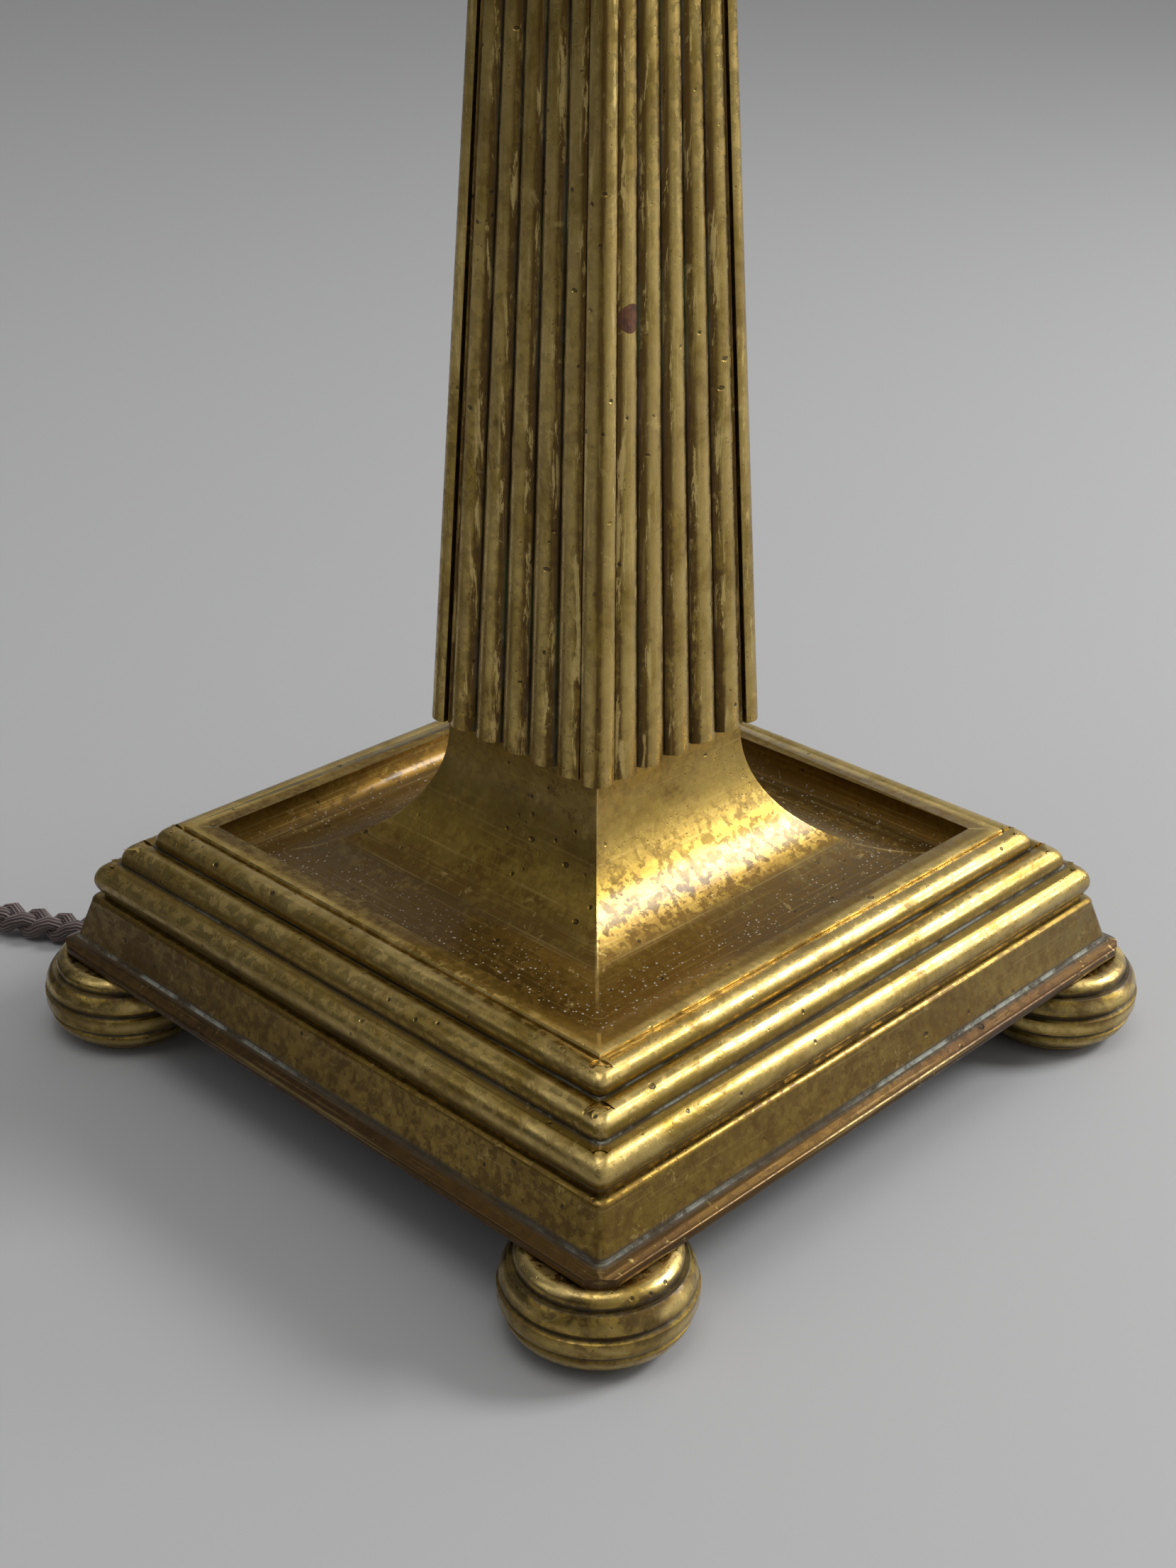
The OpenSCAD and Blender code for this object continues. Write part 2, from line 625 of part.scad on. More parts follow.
module cord_run() color("#4a3730") {
    swept([for (p = run) run_point(p[0], p[1])], cord_d, cord_h, 10);
}
module cord_coil_lead() color("#4a3730") swept(coil_lead, cord_d, cord_h, 10);
module cord_plug_lead() color("#4a3730") swept(plug_lead, cord_d, cord_h, 10);
module at_coil(a) translate([coil_c[0], coil_c[1], 0]) rotate([0, 0, a]) children();
module coil_section() translate([coil_in_r, 0]) square([coil_out_r - coil_in_r, coil_h]);
module cord_coil() color("#4a3730") difference() {
    at_coil(0) rotate_extrude() coil_section();
    // the tie passes under the turns here
    at_coil(tie_a) rotate_extrude(angle = 11) translate([coil_in_r - 2, -1]) square([coil_out_r - coil_in_r + 4, 2.3]);
}
module coil_tie() color("#6b5a48") at_coil(tie_a + 0.5) rotate_extrude(angle = 10) difference() {
    translate([coil_in_r - 1.3, 0]) square([coil_out_r - coil_in_r + 2.6, coil_h + 1.3]);
    translate([coil_in_r - 0.1, 1.2]) square([coil_out_r - coil_in_r + 0.2, coil_h - 1.1]);
}

// switch shell outline, seen from above, along the cord
module switch_plan(inset) {
    w = switch_w - 2 * inset;
    square([w, switch_l - w], center = true);
    for (y = [-1, 1]) translate([0, y * (switch_l - w) / 2 - y * inset]) circle(d = w);
}
module at_switch() along_run(switch_at + switch_l / 2) children();
module switch_bore(d) translate([0, 0, switch_axis_z]) rotate([90, 0, 0]) cylinder(d = d, h = 2 * switch_l, center = true);

module switch_base() color("#2a1c14") at_switch() difference() {
    linear_extrude(seam_z) switch_plan(0);
    translate([0, 0, 2]) linear_extrude(seam_z) switch_plan(2.5);
    switch_bore(12.2);
    for (y = [-1, 1]) translate([0, y * 22, -1]) cylinder(d = 3.2, h = 5);
}
module switch_cover() color("#2a1c14") at_switch() difference() {
    translate([0, 0, seam_z]) linear_extrude(switch_h - seam_z) switch_plan(0);
    translate([0, 0, seam_z - 1]) linear_extrude(switch_h - seam_z - 1.5) switch_plan(2.5);
    switch_bore(12.2);
    cylinder(d = button_d + 0.5, h = 60);
}
module switch_button() color("#b08d57") at_switch() {
    translate([0, 0, switch_h - 6]) cylinder(d = button_d, h = 6 + button_up);
    translate([0, 0, switch_h - 6]) cylinder(d = button_d + 4, h = 3.2);
    translate([0, 0, switch_h - 12]) cylinder(d = 4.5, h = 7);
}
spring_z = 6;
spring_h = switch_h - 6 - spring_z;
module switch_spring() color("silver") at_switch()
    swept([for (i = [0:60]) [3.6 * cos(24 * i), 3.6 * sin(24 * i), spring_z + 0.5 + (spring_h - 1) * i / 60]], 0.8, 0.8, 6);
module switch_contacts() color("gold") at_switch() {
    translate([-7, -9, 2]) cube([14, 18, 2]);
    for (x = [-1, 1]) translate([x * 10 - 1.5, -6, 2]) cube([3, 12, 5]);
    translate([0, 0, 4]) cylinder(d = 6, h = spring_z - 4);
}
module switch_screws() color("silver") at_switch() for (y = [-1, 1]) translate([0, y * 22, 2]) {
    translate([0, 0, -1.6]) cylinder(d = 3, h = 2);
}
module switch_relief_in() color("#2a1c14") along_run(switch_at + 3) translate([0, 0, switch_axis_z])
    rotate([0, 0, 180]) relief(12, 11, switch_relief_l + 3);
module switch_relief_out() color("#2a1c14") along_run(switch_at + switch_l - 3) translate([0, 0, switch_axis_z])
    relief(12, 11, switch_relief_l + 3);

module along_plug() translate([plug_x, plug_y, plug_z]) rotate([0, 90, 0]) children();
module plug_body() color("#2a1c14") along_plug() difference() {
    rotate_extrude() polygon([[0, 0], [9, 0], [13, 3], [plug_d / 2 - 1, 14], [plug_d / 2, 17],
                              [plug_d / 2, plug_len - 1], [plug_d / 2 - 1, plug_len], [0, plug_len]]);
    for (y = [-1, 1]) translate([0, y * plug_pin_gap / 2, plug_len - 10]) cylinder(d = plug_root_d + 2 * slip, h = 20);
    for (x = [-1, 1]) translate([x * (plug_d / 2), 0, plug_len - 8]) cube([3, 7, 20], center = true);
}
module plug_pins() color("silver") along_plug() for (y = [-1, 1]) translate([0, y * plug_pin_gap / 2, 0]) {
    translate([0, 0, plug_len - 9.8]) cylinder(d = plug_root_d, h = 9.8);
    translate([0, 0, plug_len - 1]) cylinder(d = plug_pin_d, h = plug_pin_l + 1);
}
module plug_relief() color("#2a1c14") translate([plug_x, plug_y, plug_z]) rotate([0, 0, 90])
    relief(16, 12, plug_relief_l);

base_plinth();
foot_front_left();
foot_front_right();
foot_rear_left();
foot_rear_right();
foot_studs();
base_plate();
base_plate_screws();
base_weight();
tie_rod();
base_washer();
base_nut();
earth_screw();
base_lead();
cord_anchor();
cord_anchor_screws();
cord_relief();
column();
column_pin();
capital();
knop_lower();
stem_lower();
stem_coupling();
stem_upper();
knop_upper();
bowl_cup();
bowl();
bowl_lip();
bowl_washer();
bowl_nut();
wire_cores();
holder_cap();
holder_shell();
holder_insert();
holder_contact();
bulb_cap();
bulb_globe();
bulb_contact();
bulb_stem();
bulb_filament();
cord_run();
cord_coil_lead();
cord_coil();
cord_plug_lead();
coil_tie();
switch_base();
switch_cover();
switch_button();
switch_spring();
switch_contacts();
switch_screws();
switch_relief_in();
switch_relief_out();
plug_body();
plug_relief();
plug_pins();
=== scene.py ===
import math
import bpy
from mathutils import Matrix, Vector


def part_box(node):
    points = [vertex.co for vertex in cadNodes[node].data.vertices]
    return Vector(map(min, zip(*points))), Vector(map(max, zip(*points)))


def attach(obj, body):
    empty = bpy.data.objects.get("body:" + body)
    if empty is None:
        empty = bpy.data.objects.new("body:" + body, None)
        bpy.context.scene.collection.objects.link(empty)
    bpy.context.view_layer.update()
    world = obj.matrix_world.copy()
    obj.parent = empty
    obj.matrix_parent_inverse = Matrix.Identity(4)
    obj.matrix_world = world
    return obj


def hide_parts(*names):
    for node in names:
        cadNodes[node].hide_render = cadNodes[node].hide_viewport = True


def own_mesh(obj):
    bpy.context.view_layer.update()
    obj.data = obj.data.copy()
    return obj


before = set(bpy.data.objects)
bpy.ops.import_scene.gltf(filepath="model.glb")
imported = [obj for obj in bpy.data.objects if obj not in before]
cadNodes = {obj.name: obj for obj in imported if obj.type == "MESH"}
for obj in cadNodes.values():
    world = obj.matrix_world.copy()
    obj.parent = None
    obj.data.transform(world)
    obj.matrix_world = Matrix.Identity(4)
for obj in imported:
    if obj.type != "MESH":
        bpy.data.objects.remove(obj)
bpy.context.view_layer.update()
bpy.ops.object.select_all(action="DESELECT")
print("frame loaded:", len(cadNodes), "nodes")

# metres, degrees, and millimetres for the lens
cameraSettings = {
    "place": (-0.3954, -0.3828, 0.3519), "azimuth": -45.74, "elevation": 26.5, "roll": 0.5,
    "lens": 50.13, "sensor": 36, "nearest": 0.01,
}


def makeCamera(s):
    bpy.ops.object.camera_add(location=s["place"])
    cam = bpy.context.object
    cam.name = "viewCamera"
    turn = Matrix.Rotation(math.radians(s["azimuth"]), 3, "Z")
    tilt = Matrix.Rotation(math.radians(90 - s["elevation"]), 3, "X")
    roll = Matrix.Rotation(math.radians(s["roll"]), 3, "Z")
    cam.rotation_euler = (turn @ tilt @ roll).to_euler()
    cam.data.sensor_width = s["sensor"]
    cam.data.sensor_fit = "AUTO"
    cam.data.lens = s["lens"]
    cam.data.clip_start = s["nearest"]
    cam.data.dof.use_dof = False
    bpy.context.scene.camera = cam


makeCamera(cameraSettings)
bpy.ops.object.select_all(action="DESELECT")

# corners nearer than this in metres are one corner, and faces flatter than this in degrees are one face
copySettings = {"oneCorner": 0.000002, "oneFace": 0.3}


def copyOf(node, name):
    # a CAD solid's own copy, with its loose triangles joined and its flat faces made whole
    bpy.ops.object.select_all(action="DESELECT")
    piece = cadNodes[node].copy()
    piece.data = cadNodes[node].data.copy()
    piece.name = piece.data.name = name
    piece.data.materials.clear()
    bpy.context.scene.collection.objects.link(piece)
    piece.select_set(True)
    bpy.context.view_layer.objects.active = piece
    bpy.ops.mesh.customdata_custom_splitnormals_clear()
    bpy.ops.object.mode_set(mode="EDIT")
    bpy.ops.mesh.select_all(action="SELECT")
    bpy.ops.mesh.remove_doubles(threshold=copySettings["oneCorner"])
    bpy.ops.mesh.dissolve_limited(angle_limit=math.radians(copySettings["oneFace"]))
    bpy.ops.object.mode_set(mode="OBJECT")
    return piece


def finishPiece(piece, body, nodes, smooth):
    bpy.ops.object.select_all(action="DESELECT")
    piece.select_set(True)
    bpy.context.view_layer.objects.active = piece
    bpy.ops.object.shade_smooth_by_angle(angle=math.radians(smooth))
    piece.select_set(False)
    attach(piece, body)
    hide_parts(*nodes)


springSettings = {"travel": 0.003, "smooth": 50}


def makeSpring(s):
    # the button's spring, copied from its CAD solid and hung on the lamp body
    spring = copyOf("switch_spring", "buttonSpring")
    finishPiece(spring, "lamp", ["switch_spring"], s["smooth"])
    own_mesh(spring)
    print("spring copied")
    return spring


buttonSpring = makeSpring(springSettings)

# the cord's route in metres, and the silk strands plaited along it
cordSettings = {
    "width": 0.010, "height": 0.009, "strands": 3, "strand": 0.0047, "pitch": 0.027,
    "step": 0.0022, "sides": 8,
    "runAngle": 30,
    # distance from the plinth's centre, and height
    "run": [
        (0.088, 0.016), (0.095, 0.016), (0.104, 0.0142), (0.112, 0.0115), (0.120, 0.0086),
        (0.128, 0.0063), (0.138, 0.0049), (0.150, 0.0045), (0.168, 0.0045), (0.184, 0.0048),
        (0.196, 0.0062), (0.208, 0.008), (0.218, 0.008),
    ],
    "toCoil": [
        (-0.168, 0.291, 0.008), (-0.172, 0.2979, 0.008), (-0.178, 0.308, 0.0062),
        (-0.185, 0.320, 0.0047),
    ],
    "toPlug": [
        (-0.296, 0.268, 0.0215), (-0.296, 0.254, 0.019), (-0.296, 0.240, 0.016),
        (-0.293, 0.225, 0.0135), (-0.284, 0.212, 0.0125), (-0.272, 0.203, 0.014),
        (-0.263, 0.2003, 0.0165), (-0.254, 0.200, 0.0185), (-0.247, 0.200, 0.0185),
    ],
    # angles in degrees; a turn shifts to the next place over the last and first of its "shift"
    "coilCentre": (-0.239, 0.292), "turnRadius": (0.0465, 0.0565),
    "coilFrom": 46, "coilTo": 191 + 5 * 360, "coilStep": 12, "shift": 26,
    # each turn's place in the coil: inner 0 or outer 1, and its layer
    "turns": [(1, 0), (0, 0), (0, 1), (1, 1), (0, 2), (1, 2)],
}


def smoothLine(points, step):
    # points about a step apart on a smooth curve through the given ones
    out = []
    last = len(points) - 1
    for i in range(last):
        p0, p1, p2, p3 = (Vector(points[min(max(i + k, 0), last)]) for k in (-1, 0, 1, 2))
        bend = 2 * p0 - 5 * p1 + 4 * p2 - p3
        twist = 3 * p1 - p0 - 3 * p2 + p3
        n = max(1, round((p2 - p1).length / step))
        for k in range(n):
            t = k / n
            out.append(0.5 * (2 * p1 + (p2 - p0) * t + bend * t * t + twist * t ** 3))
    out.append(Vector(points[last]))
    return out


def lineLength(line):
    return sum((q - p).length for p, q in zip(line, line[1:]))


def coilPoints(s):
    total = s["coilTo"] - s["coilFrom"]
    turns, shift = s["turns"], s["shift"]
    perTurn = total / len(turns)
    inner, outer = s["turnRadius"]
    middleX, middleY = s["coilCentre"]
    points = []
    for a in range(0, round(total) + 1, s["coilStep"]):
        k = min(int(a / perTurn), len(turns) - 1)
        side, layer = turns[k]
        inTurn = a - k * perTurn
        other, t = None, 0
        if inTurn > perTurn - shift and k + 1 < len(turns):
            other, t = turns[k + 1], 0.5 * (inTurn - perTurn + shift) / shift
        elif inTurn < shift and k > 0:
            other, t = turns[k - 1], 0.5 * (shift - inTurn) / shift
        if other:
            t = 2 * t * t
            side, layer = side + (other[0] - side) * t, layer + (other[1] - layer) * t
        r = inner + (outer - inner) * side
        angle = math.radians(s["coilFrom"] + a)
        points.append((middleX + r * math.cos(angle), middleY + r * math.sin(angle),
                       s["height"] * (0.5 + layer)))
    return points


def acrossLine(line, i):
    # the level direction and the upward one across a line at one of its points
    tangent = (line[min(i + 1, len(line) - 1)] - line[max(i - 1, 0)]).normalized()
    side = tangent.cross(Vector((0, 0, 1))).normalized()
    return side, side.cross(tangent)


def plait(name, line, s):
    verts, faces, uvs = [], [], []
    sides = s["sides"]
    lengths = [0]
    for a, b in zip(line, line[1:]):
        lengths.append(lengths[-1] + (b - a).length)
    r = s["strand"] / 2
    wide, high = s["width"] / 2 - r, s["height"] / 2 - r
    for strand in range(s["strands"]):
        centres = []
        for i, p in enumerate(line):
            side, up = acrossLine(line, i)
            phase = 2 * math.pi * (lengths[i] / s["pitch"] + strand / s["strands"])
            centres.append(p + side * wide * math.sin(phase) + up * high * math.sin(2 * phase))
        first = len(verts)
        for i, p in enumerate(centres):
            side, up = acrossLine(centres, i)
            for k in range(sides):
                a = 2 * math.pi * k / sides
                verts.append(p + (side * math.cos(a) + up * math.sin(a)) * r)
        end = len(centres) - 1
        for i in range(end):
            ring, ahead = first + i * sides, first + (i + 1) * sides
            u0, u1 = lengths[i], lengths[i + 1]
            for k in range(sides):
                m = (k + 1) % sides
                faces.append((ring + k, ring + m, ahead + m, ahead + k))
                uvs += [(u0, k / sides), (u0, (k + 1) / sides), (u1, (k + 1) / sides), (u1, k / sides)]
        faces.append(tuple(first + k for k in reversed(range(sides))))
        faces.append(tuple(first + end * sides + k for k in range(sides)))
        uvs += [(0, 0)] * sides + [(lengths[-1], 0)] * sides
    mesh = bpy.data.meshes.new(name)
    mesh.from_pydata(verts, [], faces)
    layer = mesh.uv_layers.new(name="along")
    for i, uv in enumerate(uvs):
        layer.data[i].uv = uv
    for poly in mesh.polygons:
        poly.use_smooth = len(poly.vertices) == 4
    piece = bpy.data.objects.new(name, mesh)
    bpy.context.scene.collection.objects.link(piece)
    return piece


def makeCords(s):
    a = math.radians(s["runAngle"])
    runLine = smoothLine([(-math.sin(a) * t, math.cos(a) * t, z) for t, z in s["run"]], s["step"])
    coiled = smoothLine(s["toCoil"] + coilPoints(s) + s["toPlug"], s["step"])
    run = plait("cordRun", runLine, s)
    rest = plait("cordCoiled", coiled, s)
    runLength, restLength = lineLength(runLine), lineLength(coiled)
    print("cord lengths", round(runLength, 3), round(restLength, 3))
    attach(run, "lamp")
    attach(rest, "lamp")
    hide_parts("cord_run")
    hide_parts("cord_coil_lead", "cord_coil", "cord_plug_lead")
    return run, rest


cordRun, cordCoiled = makeCords(cordSettings)
print("cords plaited")


def bevelEdges(piece, chosen, width, segments):
    # chosen(a, b) says whether the edge between two places is rounded off
    mesh = piece.data
    bpy.ops.object.mode_set(mode="EDIT")
    bpy.ops.mesh.select_all(action="DESELECT")
    bpy.ops.mesh.select_mode(type="EDGE")
    bpy.ops.object.mode_set(mode="OBJECT")
    for edge in mesh.edges:
        edge.select = chosen(*(mesh.vertices[v].co for v in edge.vertices))
    count = sum(edge.select for edge in mesh.edges)
    bpy.ops.object.mode_set(mode="EDIT")
    bpy.ops.mesh.bevel(offset_type="ABSOLUTE", offset=width, segments=segments, profile=0.5,
                       clamp_overlap=True)
    bpy.ops.object.mode_set(mode="OBJECT")
    return count


# radii and places in metres; "level" is how far from a plane or a mitre a corner may lie
castingSettings = {
    "cornerRound": 0.0026, "cornerSteps": 4, "rimRound": 0.0005, "rimSteps": 2,
    "reedEndRound": 0.0012, "reedEndSteps": 3, "level": 0.00003, "smooth": 34,
    "outerFrom": 0.0825, "flangeTop": 0.0280, "rim": 0.0637, "shortestRimEdge": 0.02,
    "columnFoot": 0.0986, "reedsFrom": 0.0265,
}


def makeCastings(s):
    def mitred(v):
        return abs(abs(v.x) - abs(v.y)) < s["level"] and abs(v.x) > s["outerFrom"] and v.z > s["flangeTop"]

    def alongMitre(a, b):
        return mitred(a) and mitred(b) and a.x * b.x > 0 and a.y * b.y > 0

    def onRim(v):
        return abs(v.z - s["rim"]) < s["level"]

    def alongRim(a, b):
        return onRim(a) and onRim(b) and (a - b).length > s["shortestRimEdge"]

    def onReedEnd(v):
        return abs(v.z - s["columnFoot"]) < s["level"] and max(abs(v.x), abs(v.y)) > s["reedsFrom"]

    def alongReedEnd(a, b):
        return onReedEnd(a) and onReedEnd(b)

    plinth = copyOf("base_plinth", "plinthCasting")
    corners = bevelEdges(plinth, alongMitre, s["cornerRound"], s["cornerSteps"])
    rims = bevelEdges(plinth, alongRim, s["rimRound"], s["rimSteps"])
    finishPiece(plinth, "lamp", ["base_plinth"], s["smooth"])
    column = copyOf("column", "columnCasting")
    ends = bevelEdges(column, alongReedEnd, s["reedEndRound"], s["reedEndSteps"])
    finishPiece(column, "lamp", ["column"], s["smooth"])
    print("castings softened:", corners, "corner edges,", rims, "rim edges,", ends, "reed ends")
    return plinth, column


plinthCasting, columnCasting = makeCastings(castingSettings)

footShape = {
    "radius": 0.0245, "height": 0.0235, "centre": 0.096, "sides": 64, "beadSteps": 7, "smooth": 40,
    # each bead swells between two of these grooves: shares of the radius and height, from the floor up
    "bottom": (0.60, 0.0), "quirks": [(0.82, 0.115), (0.955, 0.36), (0.975, 0.615), (0.845, 0.865)],
    "neck": (0.66, 1.0), "swell": (0.035, 0.045, 0.050, 0.045, 0.060), "depth": 0.0008, "fullness": 0.6,
    # piece, CAD node, and the corner that it stands at
    "corners": [
        ("footFrontLeft", "foot_front_left", -1, -1), ("footFrontRight", "foot_front_right", 1, -1),
        ("footRearLeft", "foot_rear_left", -1, 1), ("footRearRight", "foot_rear_right", 1, 1),
    ],
}


def footRings(s):
    places = [s["bottom"]] + s["quirks"] + [s["neck"]]
    rings = []
    for (r0, z0), (r1, z1), swell in zip(places, places[1:], s["swell"]):
        a = Vector((r0 * s["radius"], z0 * s["height"]))
        b = Vector((r1 * s["radius"], z1 * s["height"]))
        out = Vector((b.y - a.y, a.x - b.x)).normalized()
        for k in range(s["beadSteps"]):
            t = k / s["beadSteps"]
            bow = math.sin(math.pi * t) ** s["fullness"] if t else 0
            spot = a + (b - a) * t + out * bow * swell * s["radius"]
            spot.x = min(spot.x, s["radius"])
            if k == 0 and rings:
                spot -= out * s["depth"]
            rings.append((spot.x, max(spot.y, 0.0)))
    rings.append((s["neck"][0] * s["radius"], s["height"]))
    return rings


def turnFoot(s):
    # the front left foot, drawn up ring by ring
    rings = footRings(s)
    centre = -s["centre"]
    bpy.ops.object.select_all(action="DESELECT")
    bpy.ops.mesh.primitive_circle_add(vertices=s["sides"], radius=rings[0][0], fill_type="NGON",
                                      location=(centre, centre, rings[0][1]))
    foot = bpy.context.object
    bpy.ops.object.transform_apply(location=True, rotation=True, scale=True)
    bpy.ops.object.mode_set(mode="EDIT")
    bpy.ops.mesh.select_all(action="SELECT")
    bpy.ops.mesh.flip_normals()
    for (r0, z0), (r1, z1) in zip(rings, rings[1:]):
        bpy.ops.mesh.extrude_region_move(TRANSFORM_OT_translate={"value": (0, 0, z1 - z0)})
        bpy.ops.transform.resize(value=(r1 / r0, r1 / r0, 1), center_override=(centre, centre, z1))
    bpy.ops.mesh.select_all(action="SELECT")
    bpy.ops.mesh.normals_make_consistent(inside=False)
    bpy.ops.object.mode_set(mode="OBJECT")
    print("foot turned:", len(rings), "rings")
    return foot


def makeFeet(s):
    feet = []
    for name, node, sideX, sideY in s["corners"]:
        # the first is turned and the others are copied from it
        foot = feet[0].copy() if feet else turnFoot(s)
        if feet:
            foot.data = foot.data.copy()
            bpy.context.scene.collection.objects.link(foot)
        foot.name = foot.data.name = name
        shift = ((sideX + 1) * s["centre"], (sideY + 1) * s["centre"], 0)
        foot.data.transform(Matrix.Translation(shift))
        finishPiece(foot, "lamp", [node], s["smooth"])
        feet.append(foot)
    return feet


feet = makeFeet(footShape)


class Value:
    # a shader socket that takes part in Python sums

    def __init__(self, kit, socket):
        self.kit, self.socket = kit, socket

    def math(self, operation, *others):
        return self.kit.node("ShaderNodeMath", {"operation": operation}, dict(enumerate(others)))

    def __add__(self, other):
        return self.math("ADD", self, other)

    def __sub__(self, other):
        return self.math("SUBTRACT", self, other)

    def __rsub__(self, other):
        return self.math("SUBTRACT", other, self)

    def __mul__(self, other):
        return self.math("MULTIPLY", self, other)

    def __truediv__(self, other):
        return self.math("DIVIDE", self, other)

    def __rtruediv__(self, other):
        return self.math("DIVIDE", other, self)

    def __pow__(self, other):
        return self.math("POWER", self, other)

    def __abs__(self):
        return self.math("ABSOLUTE", self)

    __radd__ = __add__
    __rmul__ = __mul__

    def most(self, other):
        return self.math("MAXIMUM", self, other)

    def least(self, other):
        return self.math("MINIMUM", self, other)

    def sine(self):
        return self.math("SINE", self)


def rgba(value):
    # a plain colour gets its fourth number; a socket or a number stays
    return (*value, 1.0) if isinstance(value, tuple) else value


class Kit:
    # one material and the nodes that make it

    def __init__(self, name, uv=False):
        self.material = bpy.data.materials.new(name)
        self.material.use_nodes = True
        self.tree = self.material.node_tree
        self.tree.nodes.clear()
        self.place = self.node("ShaderNodeTexCoord", out="UV" if uv else "Object")
        split = self.tree.nodes.new("ShaderNodeSeparateXYZ")
        self.tree.links.new(self.place.socket, split.inputs[0])
        self.x, self.y, self.z = (Value(self, split.outputs[i]) for i in range(3))

    def node(self, kind, settings=None, inputs=None, out=0):
        made = self.tree.nodes.new(kind)
        for key, value in (settings or {}).items():
            setattr(made, key, value)
        for key, value in (inputs or {}).items():
            if isinstance(value, Value):
                self.tree.links.new(value.socket, made.inputs[key])
            else:
                made.inputs[key].default_value = value
        return Value(self, made.outputs[out])

    def step(self, value, low, high):
        # 0 before low, 1 past high; either may be the larger
        return self.node("ShaderNodeMapRange", {"interpolation_type": "SMOOTHSTEP"},
                         {"Value": value, "From Min": low, "From Max": high, "To Min": 0.0, "To Max": 1.0})

    def nowhere(self):
        # a mask that is 0 all over, as nothing is 90 m up
        return self.step(self.z, 90.0, 91.0)

    def vector(self, x, y, z):
        return self.node("ShaderNodeCombineXYZ", None, {0: x, 1: y, 2: z})

    def noise(self, scale, detail=3.0, rough=0.5, place=None, bend=0.0):
        return self.node("ShaderNodeTexNoise", None,
                         {"Vector": place or self.place, "Scale": scale, "Detail": detail,
                          "Roughness": rough, "Distortion": bend})

    def cells(self, scale, place=None):
        return self.node("ShaderNodeTexVoronoi", None,
                         {"Vector": place or self.place, "Scale": scale}, out="Distance")

    def mix(self, factor, a, b):
        return self.node("ShaderNodeMix", {"data_type": "RGBA"}, {0: factor, 6: rgba(a), 7: rgba(b)}, out=2)

    def surface(self, colour, rough, metal=0.0, height=None, lift=0.0003, **fixed):
        inputs = {"Base Color": colour, "Roughness": rough, "Metallic": metal}
        if height is not None:
            inputs["Normal"] = self.node("ShaderNodeBump", None,
                                         {"Height": height, "Distance": lift, "Strength": 1.0})
        inputs.update(fixed)
        made = self.node("ShaderNodeBsdfPrincipled", None, {key: rgba(inputs[key]) for key in inputs})
        end = self.tree.nodes.new("ShaderNodeOutputMaterial")
        self.tree.links.new(made.socket, end.inputs[0])
        return self.material


# one recipe for brass, with each piece's own grooves and streaks
brassSettings = {
    "mid": (0.39, 0.262, 0.052), "olive": (0.265, 0.178, 0.024), "brown": (0.140, 0.078, 0.014),
    "stain": (0.060, 0.031, 0.012), "gold": (0.66, 0.49, 0.18), "grimeAndShade": (0.045, 0.031, 0.013),
    "residue": (0.42, 0.44, 0.38), "verdigris": (0.15, 0.20, 0.07), "dust": (0.40, 0.37, 0.30),
    "rough": 0.27, "coat": 0.25, "coatRough": 0.16, "lift": 0.00022,
    # a larger number here makes finer marks
    "clouds": 13.0, "tarnish": 24.0, "wear": 30.0, "mottle": 85.0, "nicks": 95.0, "pits": 210.0,
    "paleSpots": 250.0, "blotches": 300.0, "flakes": 430.0, "grain": 520.0, "specks": 620.0, "lint": 700.0,
}


